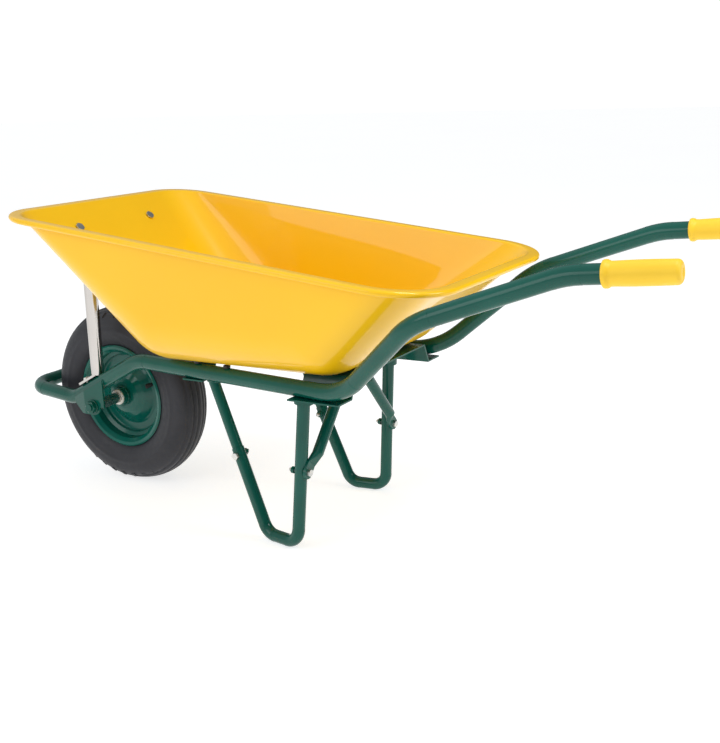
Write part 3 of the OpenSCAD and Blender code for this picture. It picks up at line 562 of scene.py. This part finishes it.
# The floor is a grid between the four sides' lowest points.
low_rr, low_fr = ball_centre(1, 1) - z_bed * BALL, ball_centre(0, 1) - z_bed * BALL
base = len(verts)
for i in range(SHORT + 1):
    for j in range(LONG + 1):
        p = low_rr + (low_fr - low_rr) * j / LONG
        verts.append(p * np.array([1, 0, 1]) + Y * BALL_Y * (1 - 2 * i / SHORT))
for i in range(SHORT):
    for j in range(LONG):
        q = base + i * (LONG + 1) + j
        faces.append((q, q + 1, q + LONG + 2, q + LONG + 1))
tray = tidy(mesh_piece("tray_shell", verts, faces, yellow), 2e-5)
floor_face = min(tray.data.polygons, key=lambda f: f.center.z)
if floor_face.normal.z > 0:
    tray.data.flip_normals()
thick = tray.modifiers.new("sheet", "SOLIDIFY")
thick.thickness = SHEET
thick.offset = -1.0
bpy.context.view_layer.update()
graph = bpy.context.evaluated_depsgraph_get()
tray.data = bpy.data.meshes.new_from_object(tray.evaluated_get(graph))
tray.modifiers.clear()
tray.data.polygons.foreach_set("use_smooth", [True] * len(tray.data.polygons))
hand_over(tray, "chassis", "tray_paint", "tray")
lowest = min(v.co.z for v in tray.data.vertices)
print("tray:", len(tray.data.polygons), "faces, lowest", round(lowest, 4))

# %% [markdown]
# ## The tyre
# A barrow tyre is a round carcass with a few ribs round its crown and a row of blocks on each
# shoulder. The carcass is one section swept round the axle, closed on itself inside. The ribs
# are real steps in that section, and a raised ring on the wall catches the light.

# %% Sweep the carcass
spin = next(j for j in frame["record"]["behaviour"]["joints"] if j["name"] == "wheel_spin")
AXLE = Vector(spin["pos_m"])
TYRE_R = 0.1997
CROWN = 0.0035


def sweep(name, section, steps, material, at=AXLE):
    """A closed section of (radius, y) points swept round the axle."""
    verts, faces = [], []
    m = len(section)
    for i in range(steps):
        a = 2 * math.pi * i / steps
        co, si = math.cos(a), math.sin(a)
        verts += [(at.x + r * co, at.y + y, at.z + r * si) for r, y in section]
    for i in range(steps):
        j = (i + 1) % steps
        for k in range(m):
            q = (k + 1) % m
            faces.append((i * m + k, i * m + q, j * m + q, j * m + k))
    return tidy(mesh_piece(name, verts, faces, material))


half = [
    (0.1040, 0.0285), (0.1090, 0.0307), (0.1145, 0.0326), (0.1172, 0.0350), (0.1200, 0.0380),
    (0.1263, 0.0421), (0.1336, 0.0451), (0.1420, 0.0469), (0.1485, 0.0472), (0.1500, 0.0479),
    (0.1545, 0.0479), (0.1560, 0.0472), (0.1630, 0.0469), (0.1714, 0.0451), (0.1787, 0.0418),
    (0.1840, 0.0378), (0.1878, 0.0338)]
GROOVE_RUN = 0.0012


def crown_r(y):
    return TYRE_R - 0.0105 * (y / 0.033) ** 2


def rib(outer, inner):
    """One rib round the crown, from the foot of its outer step to the foot of its inner one."""
    mid = (outer + inner) / 2
    return [(crown_r(outer) - CROWN, outer + GROOVE_RUN), (crown_r(outer), outer),
            (crown_r(mid), mid), (crown_r(inner), inner),
            (crown_r(inner) - CROWN, inner - GROOVE_RUN)]


# The middle rib is centred, so half of it is drawn and the rest comes with the mirror image.
ribs = rib(0.0290, 0.0200) + rib(0.0165, 0.0085)
ribs += [(crown_r(0.0055) - CROWN, 0.0067), (crown_r(0.0055), 0.0055), (crown_r(0), 0.0)]
outer_half = half + ribs
section = outer_half + [(r, -y) for r, y in reversed(outer_half[:-1])]
inner_wall = [
    (0.1038, -0.0185), (0.1119, -0.0235), (0.1203, -0.0285), (0.1302, -0.0362), (0.1435, -0.0405),
    (0.1615, -0.0405), (0.1748, -0.0362), (0.1847, -0.0280), (0.1900, -0.0163), (0.1915, 0.0)]
section += inner_wall + [(r, -y) for r, y in reversed(inner_wall[:-1])]
tyre = sweep("tyre_carcass", section, 144, tyre_black)
print("tyre section points:", len(section))

# %% [markdown]
# The shoulder blocks repeat round the tyre, so a node tree places them: one block, copied to
# evenly spaced points, each turned to face out from the axle. Changing `Blocks` in the tree's
# inputs changes the tread.

# %% Block ring tree
def geo_tree(name, inputs):
    tree = bpy.data.node_groups.new(name, "GeometryNodeTree")
    tree.interface.new_socket("Geometry", in_out="INPUT", socket_type="NodeSocketGeometry")
    for label, kind, value in inputs:
        s = tree.interface.new_socket(label, in_out="INPUT", socket_type=kind)
        if value is not None:
            s.default_value = value
    tree.interface.new_socket("Geometry", in_out="OUTPUT", socket_type="NodeSocketGeometry")
    return tree, tree.nodes.new("NodeGroupInput"), tree.nodes.new("NodeGroupOutput")


ring_tree, g_in, g_out = geo_tree("block_ring", [
    ("Blocks", "NodeSocketInt", 40), ("Radius", FLOAT, 0.19),
    ("Material", "NodeSocketMaterial", None)])
circle = node(ring_tree, "GeometryNodeMeshCircle")
turn = node(ring_tree, "GeometryNodeInputPosition")
face_out = node(ring_tree, "FunctionNodeAlignEulerToVector", axis="Z")
copy = node(ring_tree, "GeometryNodeInstanceOnPoints")
real = node(ring_tree, "GeometryNodeRealizeInstances")
paint = node(ring_tree, "GeometryNodeSetMaterial")
ring_tree.links.new(g_in.outputs["Blocks"], circle.inputs["Vertices"])
ring_tree.links.new(g_in.outputs["Radius"], circle.inputs["Radius"])
ring_tree.links.new(turn.outputs["Position"], face_out.inputs["Vector"])
ring_tree.links.new(circle.outputs["Mesh"], copy.inputs["Points"])
ring_tree.links.new(g_in.outputs["Geometry"], copy.inputs["Instance"])
ring_tree.links.new(face_out.outputs["Rotation"], copy.inputs["Rotation"])
ring_tree.links.new(copy.outputs["Instances"], real.inputs["Geometry"])
ring_tree.links.new(real.outputs["Geometry"], paint.inputs["Geometry"])
ring_tree.links.new(g_in.outputs["Material"], paint.inputs["Material"])
ring_tree.links.new(paint.outputs["Geometry"], g_out.inputs["Geometry"])
print("block ring inputs:", [s.name for s in ring_tree.interface.items_tree])

# %% [markdown]
# One block per shoulder is laid out leaning and twisted, and the tree copies it into a ring. The
# right shoulder's ring is turned by half a step, so that the blocks alternate.


# %% Shoulder blocks
def prism(size, taper):
    """A block standing on z 0, narrower at its top."""
    x, y, z = size
    ring = [(-x, -y), (x, -y), (x, y), (-x, y)]
    v = [(a, b, 0) for a, b in ring] + [(a * taper, b * taper, z) for a, b in ring]
    f = [(3, 2, 1, 0), (4, 5, 6, 7)] + [(i, (i + 1) % 4, 4 + (i + 1) % 4, 4 + i) for i in range(4)]
    return v, f


BLOCKS, BLOCK_R = 44, 0.1872
BLOCK_SIZE, BLOCK_TAPER = (0.0052, 0.0072, 0.0034), 0.82
LEAN_DEG, TWIST_DEG, SHOULDER_Y, SUNK = 46, 14, 0.0352, 0.0030
to_axle = Matrix.Translation(AXLE)
upright = Matrix.Rotation(math.radians(90), 4, "X")
rings_made = []
for side, side_name in ((-1, "left"), (1, "right")):
    lean = Matrix.Rotation(math.radians(-LEAN_DEG * side), 4, "X")
    twist = Matrix.Rotation(math.radians(TWIST_DEG * side), 4, "Z")
    v, f = prism(BLOCK_SIZE, BLOCK_TAPER)
    v = [lean @ twist @ Vector(p) + Vector((0, SHOULDER_Y * side, -SUNK)) for p in v]
    blocks = mesh_piece(f"blocks_{side_name}", v, f, tyre_black, smooth=False)
    settle(blocks, ring_tree, Blocks=BLOCKS, Radius=BLOCK_R, Material=tyre_black)
    half_step = math.pi / BLOCKS if side > 0 else 0.0
    blocks.data.transform(to_axle @ Matrix.Rotation(half_step, 4, "Y") @ upright)
    tidy(blocks)
    hand_over(blocks, "wheel", "tyre_rubber")
    rings_made.append(blocks)
hand_over(tyre, "wheel", "tyre_rubber", "tyre")
tread = [v.co for o in [tyre] + rings_made for v in o.data.vertices]
reach = max(math.hypot(c.x - AXLE.x, c.z - AXLE.z) for c in tread)
print("tyre reach", round(reach, 4), "half width", round(max(c.y for c in tread), 4))

# %% [markdown]
# ## Fasteners
# The CAD bolts and nuts are plain hexagons. Their places are read back from the CAD solids: the
# long direction of a bolt is its axis, and the short direction of a nut or washer is its own.
# A node tree then copies one chamfered unit part to every place, scaled to the CAD size.


# %% Unit parts
def turned(name, profile, steps=28):
    """A closed solid turned about Z from (radius, z) points; the first and last lie on the axis."""
    verts, faces = [], []
    m = len(profile)
    for i in range(steps):
        a = 2 * math.pi * i / steps
        verts += [(r * math.cos(a), r * math.sin(a), z) for r, z in profile]
    for i in range(steps):
        j = (i + 1) % steps
        faces += [(i * m + k, j * m + k, j * m + k + 1, i * m + k + 1) for k in range(m - 1)]
    return tidy(mesh_piece(name, verts, faces), 1e-4)


def hexagon(name, both_ends):
    """A hexagon one unit high with rounded chamfers, as a bolt head or a nut."""
    steps = 48
    flat = math.cos(math.radians(30))

    def rho(a):
        return flat / math.cos((a % (math.pi / 3)) - math.pi / 6)

    low_cut, low_z = (0.9, 0.02) if both_ends else (0.0, 0.0)
    rows = [[], [], [], []]
    for i in range(steps):
        a = 2 * math.pi * i / steps
        r = rho(a)
        rings = [(0.83 if both_ends else r * 0.999, 0.0), (r, low_cut * (r - flat) * 1.6 + low_z),
                 (r, 0.98 - 1.6 * (r - flat)), (0.82, 1.0)]
        for row, (out, z) in zip(rows, rings):
            row.append((out * math.cos(a), out * math.sin(a), z))
    verts = [p for row in rows for p in row] + [(0, 0, 0), (0, 0, 1)]
    faces = []
    for k in range(3):
        for i in range(steps):
            j = (i + 1) % steps
            faces.append((k * steps + i, k * steps + j, (k + 1) * steps + j, (k + 1) * steps + i))
    faces += [((i + 1) % steps, i, 4 * steps) for i in range(steps)]
    faces += [(3 * steps + i, 3 * steps + (i + 1) % steps, 4 * steps + 1) for i in range(steps)]
    return tidy(mesh_piece(name, verts, faces, smooth=False), 1e-6)


threads = [(0, 0), (0.97, 0)]
for k in range(14):
    threads += [(1.0, (k + 0.25) / 15), (0.90, (k + 0.75) / 15)]
threads += [(0.92, 0.97), (0.78, 1.0), (0, 1.0)]
dome_profile = [(0, 0), (0.97, 0), (1, 0.08), (0.97, 0.28), (0.86, 0.55), (0.66, 0.80),
                (0.36, 0.96), (0, 1.0)]
UNITS = {
    "head": hexagon("unit_head", False),
    "nut": hexagon("unit_nut", True),
    "shank": turned("unit_shank", threads),
    "dome": turned("unit_dome", dome_profile),
}
washer_profile = [(0.56, 0.0), (0.94, 0.0), (1.0, 0.18), (1.0, 0.82), (0.94, 1.0), (0.60, 1.0),
                  (0.56, 0.85)]
WASHER_STEPS = 40
verts, faces = [], []
for i in range(WASHER_STEPS):
    a = 2 * math.pi * i / WASHER_STEPS
    verts += [(r * math.cos(a), r * math.sin(a), z) for r, z in washer_profile]
for i in range(WASHER_STEPS):
    j, m = (i + 1) % WASHER_STEPS, len(washer_profile)
    faces += [(i * m + k, j * m + k, j * m + (k + 1) % m, i * m + (k + 1) % m) for k in range(m)]
UNITS["washer"] = tidy(mesh_piece("unit_washer", verts, faces), 1e-6)
print("unit parts:", {k: len(o.data.polygons) for k, o in UNITS.items()})

# %% [markdown]
# The copy tree sets one unit part on every point, turned to its `aim` and scaled to its `size`.

# %% Copy tree
copy_tree, g_in, g_out = geo_tree("copy_to_places", [
    ("Part", "NodeSocketObject", None), ("Material", "NodeSocketMaterial", None)])
part_in = node(copy_tree, "GeometryNodeObjectInfo")
aim = node(copy_tree, "GeometryNodeInputNamedAttribute", data_type="FLOAT_VECTOR")
aim.inputs["Name"].default_value = "aim"
size = node(copy_tree, "GeometryNodeInputNamedAttribute", data_type="FLOAT_VECTOR")
size.inputs["Name"].default_value = "size"
face_aim = node(copy_tree, "FunctionNodeAlignEulerToVector", axis="Z")
copy = node(copy_tree, "GeometryNodeInstanceOnPoints")
real = node(copy_tree, "GeometryNodeRealizeInstances")
paint = node(copy_tree, "GeometryNodeSetMaterial")
copy_tree.links.new(g_in.outputs["Part"], part_in.inputs["Object"])
copy_tree.links.new(aim.outputs["Attribute"], face_aim.inputs["Vector"])
copy_tree.links.new(g_in.outputs["Geometry"], copy.inputs["Points"])
copy_tree.links.new(part_in.outputs["Geometry"], copy.inputs["Instance"])
copy_tree.links.new(face_aim.outputs["Rotation"], copy.inputs["Rotation"])
copy_tree.links.new(size.outputs["Attribute"], copy.inputs["Scale"])
copy_tree.links.new(copy.outputs["Instances"], real.inputs["Geometry"])
copy_tree.links.new(real.outputs["Geometry"], paint.inputs["Geometry"])
copy_tree.links.new(g_in.outputs["Material"], paint.inputs["Material"])
copy_tree.links.new(paint.outputs["Geometry"], g_out.inputs["Geometry"])
print("copy tree:", len(copy_tree.nodes), "nodes")


def copies(name, unit, places, material):
    """places: (point, aim, (radius, radius, height)) each."""
    o = mesh_piece(name, [p for p, a, s in places], [], smooth=False)
    for label, values in (("aim", [a for p, a, s in places]), ("size", [s for p, a, s in places])):
        layer = o.data.attributes.new(label, "FLOAT_VECTOR", "POINT")
        layer.data.foreach_set("vector", [c for v in values for c in v])
    return settle(o, copy_tree, Part=UNITS[unit], Material=material)


def join(name, parts):
    bm = bmesh.new()
    for p in parts:
        bm.from_mesh(p.data)
    first = parts[0]
    for p in parts[1:]:
        bpy.data.objects.remove(p)
    bm.to_mesh(first.data)
    bm.free()
    first.name = name
    for layer in ("aim", "size"):
        if layer in first.data.attributes:
            first.data.attributes.remove(first.data.attributes[layer])
    return tidy(first, 1e-7)


# %% [markdown]
# Where each fastener goes, which way it points and how big it is all come from its CAD solid. A
# bolt's axis is the longest direction of its points, and a nut's or a washer's is the shortest.


# %% Read the fasteners' places
WITHIN = 0.995


def bolt_places(name):
    """Heads and shanks of a node of bolts, from its solids."""
    heads, shanks = [], []
    for part in solids(name):
        mid = part.mean(0)
        axis = np.linalg.svd(part - mid)[2][0]
        t = (part - mid) @ axis
        off = np.linalg.norm(part - mid - np.outer(t, axis), axis=1)
        big = off > 0.8 * off.max()
        thin = ~big
        if thin.any() and t[big].mean() > t[thin].mean():
            axis, t = -axis, -t
        rod = thin & (off > 1e-4)
        r_shank = off[rod].max() if rod.any() else off.max() * 0.6
        h0, h1, wide = t[big].min(), t[big].max(), off.max() * WITHIN
        start = h0 + (h1 - h0) * 0.5
        heads.append((mid + axis * h1, -axis, (wide, wide, h1 - h0)))
        shanks.append((mid + axis * start, axis, (r_shank, r_shank, t.max() - start)))
    return heads, shanks


def flat_places(name):
    """Nuts or washers: the short direction of each solid is its axis."""
    found = []
    for part in solids(name):
        mid = part.mean(0)
        axis = np.linalg.svd(part - mid)[2][2]
        t = (part - mid) @ axis
        off = np.linalg.norm(part - mid - np.outer(t, axis), axis=1)
        wide = off.max() * WITHIN
        found.append((mid + axis * t.min(), axis, (wide, wide, t.max() - t.min())))
    return found


for name, head in (("stay_bolts", "head"), ("cross_bolts", "head"), ("brace_bolts", "head"),
                   ("tray_bolts", "dome")):
    heads, shanks = bolt_places(name)
    piece = join(name + "_set", [copies(name + "_heads", head, heads, zinc),
                                 copies(name + "_shanks", "shank", shanks, zinc)])
    hand_over(piece, "chassis", "zinc_steel", name)
    print(name, [tuple(round(1000 * c, 1) for c in s) for p, a, s in heads + shanks][:3])
for name, unit, material, slot_name in [
    ("stay_nuts", "nut", green, "frame_paint"), ("cross_nuts", "nut", green, "frame_paint"),
    ("brace_nuts", "nut", zinc, "zinc_steel"), ("tray_nuts", "nut", zinc, "zinc_steel"),
    ("tray_washers", "washer", zinc, "zinc_steel"), ("axle_nuts", "nut", green, "frame_paint"),
    ("axle_washers", "washer", green, "frame_paint"),
]:
    places = flat_places(name)
    piece = join(name + "_set", [copies(name + "_parts", unit, places, material)])
    hand_over(piece, "chassis", slot_name, name)
    print(name, len(places), tuple(round(1000 * c, 1) for c in places[0][2]))
for o in UNITS.values():
    bpy.data.objects.remove(o)

# %% [markdown]
# ## Weld seams
# A weld runs wherever two painted solids meet. So the seam is looked up, not drawn: the points
# of one CAD node that touch another are put in order round their centre, and a node tree lays
# small overlapping beads along the line, like the ripples a welder leaves.

# %% Bead tree
bead_tree, g_in, g_out = geo_tree("bead_along", [
    ("Step", FLOAT, 0.0024), ("Width", FLOAT, 0.0022), ("Seed", "NodeSocketInt", 3),
    ("Material", "NodeSocketMaterial", None)])
line = node(bead_tree, "GeometryNodeMeshToCurve")
even = node(bead_tree, "GeometryNodeResampleCurve", mode="LENGTH")
ball = node(bead_tree, "GeometryNodeMeshIcoSphere")
ball.inputs["Subdivisions"].default_value = 2
copy = node(bead_tree, "GeometryNodeInstanceOnPoints")
uneven = node(bead_tree, "FunctionNodeRandomValue", data_type="FLOAT")
uneven.inputs[2].default_value = 0.85
uneven.inputs[3].default_value = 1.1
real = node(bead_tree, "GeometryNodeRealizeInstances")
paint = node(bead_tree, "GeometryNodeSetMaterial")
bead_tree.links.new(g_in.outputs["Geometry"], line.inputs["Mesh"])
bead_tree.links.new(line.outputs["Curve"], even.inputs["Curve"])
bead_tree.links.new(g_in.outputs["Step"], even.inputs["Length"])
bead_tree.links.new(g_in.outputs["Width"], ball.inputs["Radius"])
bead_tree.links.new(even.outputs["Curve"], copy.inputs["Points"])
bead_tree.links.new(ball.outputs["Mesh"], copy.inputs["Instance"])
bead_tree.links.new(g_in.outputs["Seed"], uneven.inputs["Seed"])
bead_tree.links.new(uneven.outputs[1], copy.inputs["Scale"])
bead_tree.links.new(copy.outputs["Instances"], real.inputs["Geometry"])
bead_tree.links.new(real.outputs["Geometry"], paint.inputs["Geometry"])
bead_tree.links.new(g_in.outputs["Material"], paint.inputs["Material"])
bead_tree.links.new(paint.outputs["Geometry"], g_out.inputs["Geometry"])
print("bead tree:", len(bead_tree.nodes), "nodes")


# %% [markdown]
# Touching points closer together than `gap` make one seam. Where a seam's widest turn between
# neighbours is small it goes all the way round, so its two ends are joined.


# %% Find the seams
FEWEST, CLOSED_TURN = 6, 1.2


def seams(a, b, touch=0.0008, gap=0.014):
    """Closed or open lines where CAD node a meets node b, each a list of points in order."""
    faces = [tuple(f.vertices) for f in nodes[b].data.polygons]
    other = BVHTree.FromPolygons([tuple(p) for p in cloud(b)], faces)
    spots = np.unique(cloud(a).round(5), axis=0)
    pts = np.array([p for p in spots if (other.find_nearest(Vector(p))[3] or 0) < touch])
    found = []
    left = list(range(len(pts)))
    while left:
        stack, part = [left.pop()], []
        while stack:
            i = stack.pop()
            part.append(i)
            near = [j for j in left if np.linalg.norm(pts[i] - pts[j]) < gap]
            for j in near:
                left.remove(j)
            stack += near
        if len(part) < FEWEST:
            continue
        p = pts[part]
        mid = p.mean(0)
        plane = np.linalg.svd(p - mid)[2]
        angle = np.arctan2((p - mid) @ plane[1], (p - mid) @ plane[0])
        order = np.argsort(angle)
        turn = np.r_[angle[order], angle[order][0] + 2 * math.pi]
        found.append((p[order], float(np.diff(turn).max())))
    return found


def weld(name, lines, body, material, slot_name, width=0.0022):
    verts, edges = [], []
    for pts, widest in lines:
        base = len(verts)
        verts += [tuple(p) for p in pts]
        edges += [(base + i, base + i + 1) for i in range(len(pts) - 1)]
        if widest < CLOSED_TURN:
            edges.append((base + len(pts) - 1, base))
    mesh = bpy.data.meshes.new(name)
    mesh.from_pydata(verts, edges, [])
    o = bpy.data.objects.new(name, mesh)
    scene.collection.objects.link(o)
    settle(o, bead_tree, Width=width, Material=material)
    o.data.polygons.foreach_set("use_smooth", [True] * len(o.data.polygons))
    print(name, "lines:", len(lines), "faces:", len(o.data.polygons))
    return hand_over(o, body, slot_name)


for a in ("leg_sockets", "stay_left", "stay_right", "wheel_bracket_left", "wheel_bracket_right",
          "bridge_front", "bridge_rear"):
    lines = seams(a, "frame_tube")
    print(a, [(len(p), round(g, 2)) for p, g in lines])
    if lines:
        weld(a + "_weld", lines, "chassis", green, "frame_paint")
HUB_WELD_R, HUB_WELD_Y = 0.0212, 0.0346
hub_lines = []
for side in (-1, 1):
    ring = [(AXLE.x + HUB_WELD_R * math.cos(t), side * HUB_WELD_Y,
             AXLE.z + HUB_WELD_R * math.sin(t))
            for t in np.linspace(0, 2 * math.pi, 48, endpoint=False)]
    hub_lines.append((np.array(ring), 0.1))
weld("hub_weld", hub_lines, "wheel", wheel_green, "rim_paint", 0.0018)

# %% [markdown]
# ## Grips
# A moulded grip has soft edges, a rolled collar where the hand stops, and a closed end. Its
# section is turned about the handle's own line, which is read from the CAD grip.

# %% Turn the grips
BORE_R, BORE_DEPTH, COLLAR, EDGE = 0.0162, 0.040, 0.009, 0.007
for name in ("grip_left", "grip_right"):
    part = cloud(name)
    hold = name.split("_")[1] + "_handhold"
    mount = next(m for m in frame["record"]["mounts"] if m["name"] == hold)
    axis = np.array(mount["axis"])
    mid = np.array(mount["pos_m"])
    t = (part - mid) @ axis
    off = np.linalg.norm(part - mid - np.outer(t, axis), axis=1)
    t0, t1, r_grip, r_collar = t.min(), t.max(), mount["dims"]["r_mm"] / 1000, off.max()
    long = t1 - t0
    prof = [(BORE_R, 0.0), (r_collar - 0.002, 0.0), (r_collar - 0.0006, 0.0006),
            (r_collar, 0.0022), (r_collar, COLLAR - 0.0028), (r_collar - 0.0009, COLLAR - 0.0008),
            (r_grip + 0.0006, COLLAR), (r_grip - 0.0003, COLLAR + 0.0012)]
    for s in np.linspace(0.05, 1, 16):
        swell = 0.0007 * math.sin(math.pi * s)
        prof.append((r_grip - 0.0007 + swell, COLLAR + 0.0012 + s * (long - COLLAR - 0.0082)))
    for a in np.radians(np.linspace(8, 90, 9)):
        prof.append((r_grip - 0.0077 + EDGE * math.cos(a), long - EDGE + EDGE * math.sin(a)))
    prof += [(0.0060, long), (0.0055, long - 0.0006), (0.0, long - 0.0008), (0.0, BORE_DEPTH),
             (BORE_R, BORE_DEPTH)]
    z = Vector(axis)
    frame_rot = z.to_track_quat("Z", "Y").to_matrix()
    start = mid + axis * t0
    verts, faces, steps, m = [], [], 56, len(prof)
    for i in range(steps):
        a = 2 * math.pi * i / steps
        for r, h in prof:
            verts.append(Vector(start) + frame_rot @ Vector((r * math.cos(a), r * math.sin(a), h)))
    for i in range(steps):
        j = (i + 1) % steps
        for k in range(m):
            k2 = (k + 1) % m
            faces.append((i * m + k, j * m + k, j * m + k2, i * m + k2))
    grip = tidy(mesh_piece(name + "_moulded", verts, faces, grip_yellow), 1e-5)
    hand_over(grip, "chassis", "grip_rubber", name)
    print(name, "length", round(long, 4), "collar", round(r_collar, 4))
